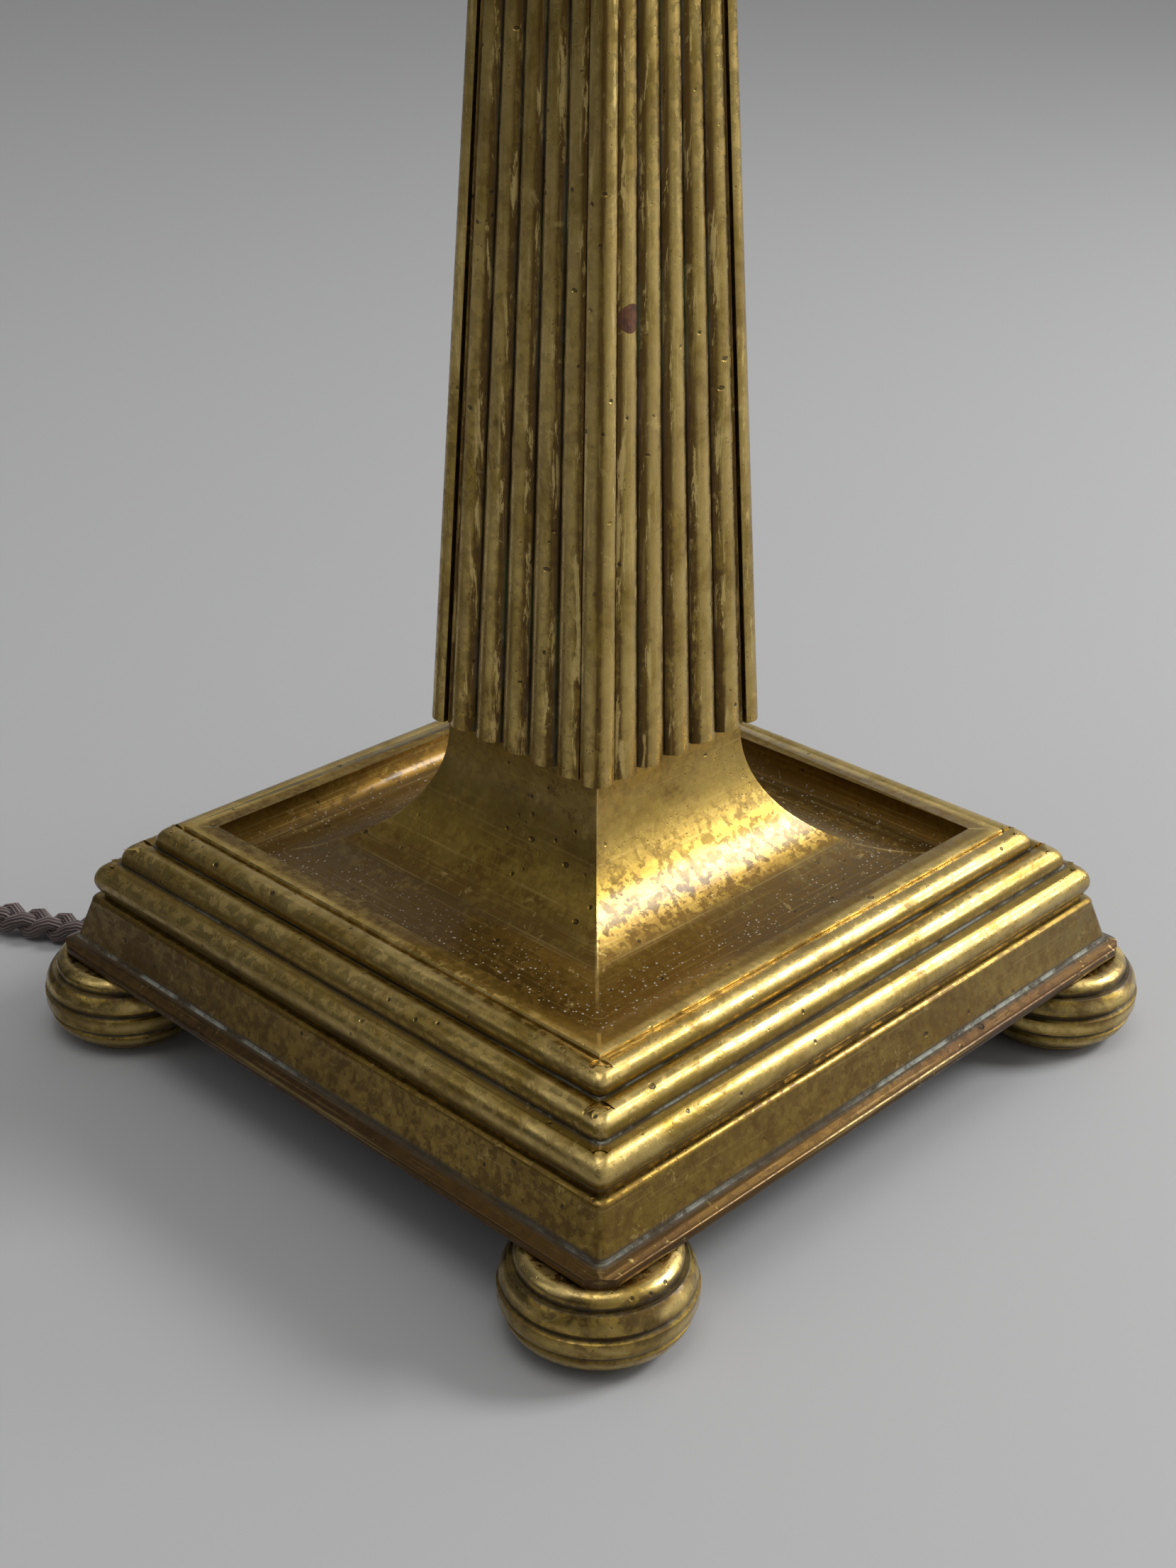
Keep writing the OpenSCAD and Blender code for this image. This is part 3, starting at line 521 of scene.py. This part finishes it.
def brass(kit, groove, crest, streak, brown=None, residue=0.0, green=0.0, golden=0.35, rough=None,
          chalky=None, dusty=None, chips=None, stain=None):
    # groove and crest are masks from 0 to 1: grime and painted shade darken the grooves, and the crests rub
    # to gold; streak is the place that the polishing marks run along
    s = brassSettings
    cloud = kit.step(kit.noise(s["clouds"], 4.0, 0.6), 0.36, 0.66)
    mottle = kit.step(kit.noise(s["mottle"], 6.0, 0.68, bend=0.6), 0.40, 0.68)
    flakes = kit.step(kit.cells(s["flakes"]) + (kit.noise(210.0, 3.0) - 0.5) * 0.9, 0.30, 0.52)
    blotch = kit.step(kit.noise(s["blotches"], 5.0, 0.62, bend=0.4), 0.49, 0.55)
    grain = kit.noise(s["grain"], 3.0, 0.6)
    lines = kit.noise(1.0, 5.0, 0.62, place=streak)
    worn = kit.noise(s["wear"], 5.0, 0.7, bend=1.2)
    pits = kit.step(kit.cells(s["pits"]), 0.16, 0.05) * kit.step(kit.noise(48.0, 2.0), 0.52, 0.62)
    nicks = kit.step(kit.cells(s["nicks"], place=kit.vector(kit.x, kit.y, kit.z * 1.7)), 0.12, 0.07)
    nicks = nicks * kit.step(kit.noise(37.0, 2.0), 0.54, 0.58)
    specks = kit.step(kit.cells(s["specks"]), 0.22, 0.08) * kit.step(kit.noise(110.0, 2.0), 0.50, 0.64)
    pale = kit.step(kit.noise(s["paleSpots"], 5.0, 0.7, bend=0.5), 0.60, 0.66)
    pale = pale * kit.step(kit.noise(31.0, 3.0), 0.42, 0.60)

    # tarnish over the plain metal, with painted shade where a piece's brown mask adds it
    colour = kit.mix(cloud, s["mid"], s["olive"])
    patinaAndShade = kit.step(kit.noise(s["tarnish"], 6.0, 0.7, bend=0.8), 0.50, 0.70) * 0.45
    patinaAndShade = patinaAndShade + mottle * 0.18 + flakes * 0.20 + blotch * 0.24
    if brown is not None:
        patinaAndShade = patinaAndShade + brown
    patinaAndShade = patinaAndShade.least(1.0)
    colour = kit.mix(patinaAndShade, colour, s["brown"])
    if stain is not None:
        colour = kit.mix(stain, colour, s["stain"])

    # rubbed crests, polishing marks and pale spots; on the column's reed tops the rubbed gold is also a
    # painted highlight
    gold = crest * kit.step(worn, 0.30, 0.62) * golden + kit.step(lines, 0.54, 0.70) * 0.22 + pale * 0.34
    gold = gold.least(1.0)
    colour = kit.mix(gold, colour, s["gold"])

    # grime settled in the grooves, and painted shade darkening them
    dirtAndShade = (groove * kit.step(worn + lines * 0.3, 0.30, 0.62)).least(1.0)
    dirtAndShade = dirtAndShade.most(groove * 0.45)
    colour = kit.mix(dirtAndShade * 0.92, colour, s["grimeAndShade"])
    if green:
        crust = groove * kit.step(kit.noise(16.0, 4.0, 0.6), 0.50, 0.66)
        colour = kit.mix(crust * green, colour, s["verdigris"])
    if residue:
        chalk = (groove if chalky is None else chalky) * kit.step(kit.noise(70.0, 5.0, 0.75), 0.42, 0.60)
        chalk = chalk * kit.step(kit.noise(9.0, 2.0), 0.38, 0.56)
        colour = kit.mix(chalk * residue, colour, s["residue"])

    # damage and dust come last
    if chips is not None:
        colour = kit.mix(chips, colour, s["gold"])
    colour = kit.mix((pits * 0.85 + specks * 0.55 + nicks * 0.7).least(1.0), colour, s["grimeAndShade"])
    matt = dirtAndShade * 0.6
    if dusty is not None:
        lint = kit.step(kit.cells(s["lint"]) + (kit.noise(400.0, 3.0) - 0.5) * 0.5, 0.20, 0.10) * dusty
        colour = kit.mix(lint, colour, s["dust"])
        matt = matt.most(lint)
    roughness = (rough or s["rough"]) + patinaAndShade * 0.12 + blotch * 0.17 + matt * 0.5 - gold * 0.07
    roughness = roughness + (grain - 0.5) * 0.12 + (lines - 0.5) * 0.16
    height = lines * 0.12 + grain * 0.07 + mottle * 0.03 - flakes * 0.02 - blotch * 0.03
    height = height - pits * 0.9 - specks * 0.25 - nicks * 1.6
    return kit.surface(colour, roughness, metal=1.0 - matt, height=height, lift=s["lift"],
                       **{"Coat Weight": s["coat"], "Coat Roughness": s["coatRough"]})


def strongest(masks):
    total = masks[0]
    for mask in masks[1:]:
        total = total.most(mask)
    return total


def spotMask(kit, across, up, places, width):
    # 1 close to any of the (across, up) points of a moulding's outline
    masks = []
    for a, b in places:
        da, db = across - a, up - b
        masks.append(kit.step((da * da + db * db) ** 0.5, width, width * 0.3))
    return strongest(masks)


def ringMask(kit, value, places, width):
    # 1 close to any of the places
    return strongest([kit.step(abs(value - p), width, width * 0.25) for p in places])


plinthSettings = {
    # points of the outline, as distance from the middle and height
    "quirks": [(0.1010, 0.0433), (0.0960, 0.0518), (0.0887, 0.0571)], "crease": (0.1065, 0.0285),
    "rimEdge": (0.0823, 0.0637),
    "quirkWidth": 0.0018, "chalkWidth": 0.0008, "beadWidth": 0.0046, "rimEdgeWidth": 0.0006,
    # where each tone begins and where it is full, as distance from the middle
    "outside": (0.0790, 0.0810), "floorEdge": (0.052, 0.066), "mitre": (0.0011, 0.0002),
    # the same, as height
    "flange": (0.0290, 0.0275), "flangeStain": (0.0287, 0.0277), "fascia": (0.0425, 0.0415),
    "beads": (0.040, 0.046), "floorRise": (0.0617, 0.0557), "lint": (0.0600, 0.0565),
    "dish": (0.068, 0.060), "neck": (0.070, 0.085),
    # where the painted shade on the left-hand side begins and is full, across x
    "shadedLeftSide": (0.0, -0.03),
}


def plinthBrass(s):
    kit = Kit("agedBrassPlinth")
    ax, ay = abs(kit.x), abs(kit.y)
    furthest, along = ax.most(ay), ax.least(ay)
    # half the width of the rounded square that passes through the point
    corner = castingSettings["cornerRound"]
    d = (furthest - along).least(corner)
    m = furthest + corner - d * 0.5 - ((2 * corner * corner) - d * d) ** 0.5 * 0.5
    outside = kit.step(m, *s["outside"])
    inDish = (1 - outside) * kit.step(kit.z, *s["dish"])
    lines = s["quirks"] + [s["crease"]]
    # the quirks and the crease are darkened with grime and painted shade
    groove = spotMask(kit, m, kit.z, lines, s["quirkWidth"])
    chalk = spotMask(kit, m, kit.z, lines, s["chalkWidth"])

    beads = kit.step(spotMask(kit, m, kit.z, s["quirks"], s["beadWidth"]), 0.6, 0.0)
    mitre = kit.step(abs(ax - ay), *s["mitre"]) * kit.step(kit.noise(60.0, 4.0), 0.40, 0.58)
    crest = beads * outside * kit.step(kit.z, *s["beads"])
    crest = crest.most(mitre * 0.8).most(kit.step(kit.z, *s["neck"]) * 0.35)
    crest = crest.most(spotMask(kit, m, kit.z, [s["rimEdge"]], s["rimEdgeWidth"]) * 0.7)

    # darker towards the foot of the dish wall: painted shade
    floorEdge = kit.step(kit.z, *s["floorRise"]) * kit.step(m, *s["floorEdge"]) * (1 - outside)
    brown = kit.step(kit.z, *s["flange"]) * 0.85 + floorEdge * 0.75 + inDish * 0.55
    brown = brown + kit.step(kit.z, *s["fascia"]) * 0.30
    # the left-hand side is browned: painted shade
    brown = brown + kit.step(kit.x + kit.y * 0.2, *s["shadedLeftSide"]) * 0.12
    stain = kit.step(kit.z, *s["flangeStain"]) * (0.55 + kit.step(kit.noise(20.0, 4.0), 0.4, 0.6) * 0.4)
    streak = kit.vector(along * 14, m * 700, kit.z * 700)
    return brass(kit, groove, crest, streak, brown=brown, residue=0.65, golden=0.6, chalky=chalk,
                 stain=stain, dusty=inDish * kit.step(kit.z, *s["lint"]) * 0.8,
                 rough=(1 - outside) * 0.07 + brassSettings["rough"])


# metres; the column is a tapered square with reeds a pitch apart on each face
columnSettings = {
    "foot": 0.0986, "length": 0.340, "half": 0.0333, "topShare": 0.4805, "pitch": 0.01035, "lanes": 3,
    "laneWidth": 0.0022, "bandShift": 0.0020, "bandWidth": 0.0019,
    # depths below the reeds' tops at which each tone begins and is full
    "hollow": (0.0014, 0.0034), "top": (0.0012, 0.0002), "flankShadeAndTarnish": (0.0004, 0.0012),
}


def columnBrass(s):
    kit = Kit("agedBrassColumn")
    ax, ay = abs(kit.x), abs(kit.y)
    taper = 1 + (kit.z - s["foot"]) * ((s["topShare"] - 1) / s["length"])
    m, along = ax.most(ay) / taper, ax.least(ay) / taper
    depth = s["half"] - m
    lanes = [s["pitch"] * (i + 0.5) for i in range(s["lanes"])]
    # the hollows between the reeds are darkened with grime and painted shade
    groove = kit.step(depth, *s["hollow"]) * ringMask(kit, along, lanes, s["laneWidth"])
    # the reed tops rub to gold, partly a painted highlight
    crest = kit.step(depth, *s["top"]) * 0.8
    # a brown band with rubbed gold chips in it runs down both flanks of each reed; the brown is painted shade
    # on the flanks, broken up by ragged tarnish
    flanks = [lane + shift for lane in lanes for shift in (-s["bandShift"], s["bandShift"])]
    drawn = kit.vector(kit.x * 330, kit.y * 330, kit.z * 42)
    chips = ringMask(kit, along, flanks, s["bandWidth"])
    chips = chips * kit.step(kit.noise(1.0, 6.0, 0.74, place=drawn, bend=0.3), 0.54, 0.59)
    ragged = kit.noise(1.0, 5.0, 0.7, place=kit.vector(kit.x * 240, kit.y * 240, kit.z * 26))
    # the flanks below the reed tops: painted shade, with ragged tarnish
    brown = kit.step(depth, *s["flankShadeAndTarnish"]) * (0.30 + kit.step(ragged, 0.40, 0.52) * 0.6)
    streak = kit.vector(kit.x * 750, kit.y * 750, kit.z * 9)
    return brass(kit, groove, crest, streak, brown=brown, residue=0.25, green=0.85, golden=0.6,
                 chips=chips * 0.9)


footSettings = {
    "grooves": [0.0027, 0.00846, 0.01445, 0.0203], "width": 0.0010, "crestWidth": 0.0030,
    "grooveFrom": (0.010, 0.014), "stainHeight": (0.006, 0.019),
}


def footBrass(s):
    kit = Kit("agedBrassFoot")
    fx, fy = abs(kit.x) - footShape["centre"], abs(kit.y) - footShape["centre"]
    radius = (fx * fx + fy * fy) ** 0.5
    # the grooves are darkened with grime and painted shade
    groove = ringMask(kit, kit.z, s["grooves"], s["width"]) * kit.step(radius, *s["grooveFrom"])
    crest = 1 - ringMask(kit, kit.z, s["grooves"], s["crestWidth"])
    streak = kit.vector(radius * 700, (fx + fy) * 10, kit.z * 900)
    stain = kit.step(kit.z, *s["stainHeight"]) * kit.step(kit.noise(85.0, 5.0, 0.7), 0.46, 0.56) * 0.75
    return brass(kit, groove, crest, streak, residue=0.15, golden=0.8, stain=stain)


# the knops' balls have the feet's grooves
knopSettings = {"ball": 0.034, "grooveWidth": 0.0015}


def ballGrooves(low, high):
    return [low + (high - low) * share for across, share in footShape["quirks"]]


def turnedBrass(name, grooves=(), golden=0.5):
    kit = Kit(name)
    radius = (kit.x * kit.x + kit.y * kit.y) ** 0.5
    # any grooves are darkened with grime and painted shade
    groove = ringMask(kit, kit.z, grooves, knopSettings["grooveWidth"]) if grooves else kit.nowhere()
    streak = kit.vector(radius * 500, (kit.x + kit.y) * 8, kit.z * 700)
    return brass(kit, groove, (1 - groove) * 0.6, streak, golden=golden)


def tubeBrass():
    kit = Kit("agedBrassTube")
    streak = kit.vector(kit.x * 400, kit.y * 400, kit.z * 5)
    return brass(kit, kit.nowhere(), kit.nowhere() + 0.5, streak, golden=0.35)


# the two colours that each plain finish varies between
finishColours = {
    "copperPlug": ((0.17, 0.075, 0.040), (0.085, 0.045, 0.030)),
    "platedSteel": ((0.42, 0.42, 0.4074), (0.252, 0.2394, 0.21)),
    "castIron": ((0.06, 0.055, 0.05), (0.13, 0.085, 0.055)),
    "stovedBlack": ((0.018, 0.017, 0.016), (0.11, 0.10, 0.09)),
    "darkMoulding": ((0.030, 0.014, 0.009), (0.060, 0.028, 0.015)),
    "glazedPorcelain": ((0.74, 0.72, 0.66), (0.60, 0.56, 0.48)),
    "terminalBrass": ((0.62, 0.44, 0.17), (0.40, 0.26, 0.10)),
    "bulbGlass": ((0.97, 0.97, 0.95), (0.88, 0.86, 0.80)),
    "phosphorRod": ((0.72, 0.46, 0.12), (0.78, 0.58, 0.22)),
    "solder": ((0.34, 0.34, 0.34), (0.48, 0.47, 0.45)),
    "wireBraid": ((0.12, 0.07, 0.045), (0.34, 0.24, 0.15)),
    "tieTape": ((0.09, 0.075, 0.06), (0.22, 0.19, 0.15)),
}


def copperPlug():
    kit = Kit("copperPlug")
    colour = kit.mix(kit.step(kit.noise(260.0, 5.0, 0.7), 0.40, 0.65), *finishColours["copperPlug"])
    return kit.surface(colour, 0.42 + kit.noise(400.0) * 0.15, metal=0.85, height=kit.noise(500.0, 4.0),
                       lift=0.0001)


def platedSteel():
    kit = Kit("platedSteel")
    dull = kit.step(kit.noise(60.0, 5.0, 0.65), 0.38, 0.66)
    colour = kit.mix(dull, *finishColours["platedSteel"])
    return kit.surface(colour, 0.32 + dull * 0.2 + kit.noise(300.0) * 0.08, metal=1.0,
                       height=kit.noise(420.0, 4.0), lift=0.0001)


def castIron():
    kit = Kit("castIron")
    rough = kit.noise(180.0, 6.0, 0.7)
    colour = kit.mix(kit.step(rough, 0.4, 0.7), *finishColours["castIron"])
    return kit.surface(colour, 0.75, metal=0.4, height=rough, lift=0.0009)


def stovedBlack():
    kit = Kit("stovedBlack")
    brushed = kit.vector(kit.x * 30, kit.y * 260, kit.z * 100)
    scuff = kit.step(kit.noise(1.0, 5.0, 0.7, place=brushed), 0.60, 0.72)
    colour = kit.mix(scuff, *finishColours["stovedBlack"])
    return kit.surface(colour, 0.42 + scuff * 0.25 + kit.noise(90.0) * 0.1, height=kit.noise(240.0, 4.0),
                       lift=0.0002)


def darkMoulding():
    kit = Kit("darkMoulding")
    swirl = kit.step(kit.noise(38.0, 4.0, 0.6, bend=2.5), 0.42, 0.68)
    rubbed = kit.step(kit.noise(120.0, 5.0, 0.7), 0.50, 0.72)
    return kit.surface(kit.mix(swirl, *finishColours["darkMoulding"]), 0.24 + rubbed * 0.16,
                       height=kit.noise(300.0, 4.0) * 0.4 - rubbed * 0.2, lift=0.00012)


def glazedPorcelain():
    kit = Kit("glazedPorcelain")
    colour = kit.mix(kit.step(kit.noise(90.0, 4.0), 0.5, 0.75), *finishColours["glazedPorcelain"])
    return kit.surface(colour, 0.18 + kit.noise(200.0) * 0.08, height=kit.noise(150.0), lift=0.0002)


def terminalBrass():
    kit = Kit("terminalBrass")
    colour = kit.mix(kit.step(kit.noise(160.0, 4.0), 0.45, 0.7), *finishColours["terminalBrass"])
    return kit.surface(colour, 0.28 + kit.noise(300.0) * 0.12, metal=1.0, height=kit.noise(500.0),
                       lift=0.0001)


def bulbGlass():
    kit = Kit("bulbGlass")
    dust = kit.step(kit.noise(140.0, 5.0, 0.7), 0.55, 0.8)
    return kit.surface(kit.mix(dust, *finishColours["bulbGlass"]), 0.03 + dust * 0.12,
                       height=kit.noise(60.0), lift=0.0001, **{"Transmission Weight": 1.0, "IOR": 1.46})


def phosphorRod():
    kit = Kit("phosphorRod")
    colour = kit.mix(kit.step(kit.noise(300.0), 0.45, 0.65), *finishColours["phosphorRod"])
    return kit.surface(colour, 0.5 + kit.noise(400.0) * 0.2, height=kit.noise(700.0), lift=0.0001)


def solder():
    kit = Kit("solder")
    colour = kit.mix(kit.noise(300.0), *finishColours["solder"])
    return kit.surface(colour, 0.38 + kit.noise(200.0) * 0.15, metal=1.0, height=kit.noise(300.0),
                       lift=0.0003)


def braidCloth(name):
    kit = Kit(name)
    weave = kit.noise(1.0, 2.0, 0.5, place=kit.vector(kit.x * 900, kit.y * 900, kit.z * 900))
    ribs = (kit.z * 4200 + (kit.x + kit.y) * 3000).sine()
    colour = kit.mix(kit.step(weave + ribs * 0.15, 0.35, 0.7), *finishColours[name])
    return kit.surface(colour, 0.75, height=ribs * 0.5 + weave * 0.5, lift=0.0003)


silkSettings = {
    "threads": 26, "slant": 420.0, "dark": (0.030, 0.021, 0.021), "mid": (0.105, 0.068, 0.064),
    "pale": (0.30, 0.235, 0.205), "sheen": 0.35, "sheenTint": (0.85, 0.76, 0.72), "lift": 0.00035,
}


def silk(s):
    kit = Kit("plaitedSilk", uv=True)
    # threads run along each strand with a slow twist; v goes once round
    twist = kit.y * (2 * math.pi * s["threads"] / 2) + kit.x * s["slant"]
    threads = twist.sine() * 0.5 + 0.5
    tone = kit.noise(1.0, 4.0, 0.6, place=kit.vector(kit.x * 260, kit.y * 3, 0.0))
    fibre = kit.noise(1.0, 3.0, 0.6, place=kit.vector(kit.x * 130, kit.y * 60, 0.0))
    colour = kit.mix(kit.step(threads * 0.55 + tone * 0.6, 0.25, 0.85), s["dark"], s["mid"])
    # pale flecks on the thread crests: paler fibres, and a painted sheen
    colour = kit.mix(kit.step(fibre * 0.6 + threads * 0.4, 0.58, 0.80) * 0.7, colour, s["pale"])
    return kit.surface(colour, 0.42 + fibre * 0.2, height=threads * 0.7 + fibre * 0.3, lift=s["lift"],
                       **{"Sheen Weight": s["sheen"], "Sheen Roughness": 0.35, "Sheen Tint": s["sheenTint"]})


def paint(material, *names):
    # names are CAD nodes or pieces made here
    for n in names:
        mesh = (cadNodes[n] if isinstance(n, str) else n).data
        if not mesh.materials:
            mesh.materials.append(material)
        for i in range(len(mesh.materials)):
            mesh.materials[i] = material


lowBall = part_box("knop_lower")[0].z
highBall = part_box("knop_upper")[1].z
lowGrooves = ballGrooves(lowBall, lowBall + knopSettings["ball"])
highGrooves = ballGrooves(highBall - knopSettings["ball"], highBall)
paint(plinthBrass(plinthSettings), plinthCasting)
paint(columnBrass(columnSettings), columnCasting)
paint(footBrass(footSettings), *feet)
paint(turnedBrass("agedBrassKnopLower", lowGrooves), "knop_lower")
paint(turnedBrass("agedBrassKnopUpper", highGrooves), "knop_upper")
paint(turnedBrass("agedBrassTurned"), "stem_coupling", "bowl_cup", "capital", "bowl_lip", "switch_button")
paint(turnedBrass("agedBrassBowl", golden=0.3), "bowl")
paint(tubeBrass(), "stem_lower", "stem_upper")
paint(copperPlug(), "column_pin")
paint(platedSteel(), "foot_studs", "base_plate_screws", "tie_rod", "base_washer", "base_nut",
      "cord_anchor_screws", "bowl_washer", "bowl_nut", "bulb_cap", buttonSpring, "switch_screws", "plug_pins")
paint(stovedBlack(), "base_plate")
paint(castIron(), "base_weight")
paint(terminalBrass(), "earth_screw", "holder_contact", "switch_contacts")
paint(darkMoulding(), "cord_anchor", "cord_relief", "holder_cap", "holder_shell", "switch_base",
      "switch_cover", "switch_relief_in", "switch_relief_out", "plug_body", "plug_relief")
paint(glazedPorcelain(), "holder_insert")
paint(bulbGlass(), "bulb_globe", "bulb_stem")
paint(phosphorRod(), "bulb_filament")
paint(solder(), "bulb_contact")
paint(braidCloth("wireBraid"), "base_lead", "wire_cores")
paint(braidCloth("tieTape"), "coil_tie")
paint(silk(silkSettings), cordRun, cordCoiled)
print("finishes made")

stageSettings = {
    "floor": (0.36, 0.36, 0.365), "floorSize": 14, "floorRough": 0.7,
    "worldDark": (0.10, 0.101, 0.106), "worldLight": (0.74, 0.74, 0.73),
    "lightFrom": (0.80, -0.52, 0.34), "lightSpread": (-0.55, 1.0),
    "lampsAimAt": (0, 0, 0.15),
    # each lamp's place and size in metres, and its watts
    "lamps": {
        "keyLamp": ((1.25, -0.85, 1.25), (0.62, 0.42), 27),
        "fillLamp": ((-1.5, 0.6, 1.6), (1.2, 1.2), 4),
        "topLamp": ((-0.5, -0.2, 2.8), (1.5, 1.5), 22),
        "sideLamp": ((1.75, -1.25, 0.75), (0.5, 0.5), 8),
    },
}


def makeFloor(s):
    bpy.ops.mesh.primitive_plane_add(size=s["floorSize"])
    floor = bpy.context.object
    floor.name = "floor"
    floor.data.materials.append(Kit("paleFloor").surface(s["floor"], s["floorRough"]))


def makeWorld(s):
    # a soft room, lighter on the side that the key lamp stands on
    world = bpy.data.worlds.new("studio")
    bpy.context.scene.world = world
    world.use_nodes = True
    tree = world.node_tree
    direction = tree.nodes.new("ShaderNodeTexCoord")
    facing = tree.nodes.new("ShaderNodeVectorMath")
    facing.operation = "DOT_PRODUCT"
    facing.inputs[1].default_value = Vector(s["lightFrom"]).normalized()
    shade = tree.nodes.new("ShaderNodeMapRange")
    shade.interpolation_type = "SMOOTHSTEP"
    shade.inputs["From Min"].default_value, shade.inputs["From Max"].default_value = s["lightSpread"]
    sky = tree.nodes.new("ShaderNodeMix")
    sky.data_type = "RGBA"
    sky.inputs[6].default_value, sky.inputs[7].default_value = rgba(s["worldDark"]), rgba(s["worldLight"])
    tree.links.new(direction.outputs["Generated"], facing.inputs[0])
    tree.links.new(facing.outputs["Value"], shade.inputs["Value"])
    tree.links.new(shade.outputs[0], sky.inputs[0])
    tree.links.new(sky.outputs[2], tree.nodes["Background"].inputs[0])


def makeLamps(s):
    for name, (place, size, watts) in s["lamps"].items():
        bpy.ops.object.light_add(type="AREA", location=place)
        lamp = bpy.context.object
        lamp.name = name
        lamp.data.shape = "RECTANGLE"
        lamp.data.size, lamp.data.size_y = size
        lamp.data.energy = watts
        lamp.rotation_euler = (Vector(s["lampsAimAt"]) - lamp.location).to_track_quat("-Z", "Y").to_euler()


makeFloor(stageSettings)
makeWorld(stageSettings)
makeLamps(stageSettings)
bpy.context.scene.view_settings.view_transform = "Standard"
print("stage lit")
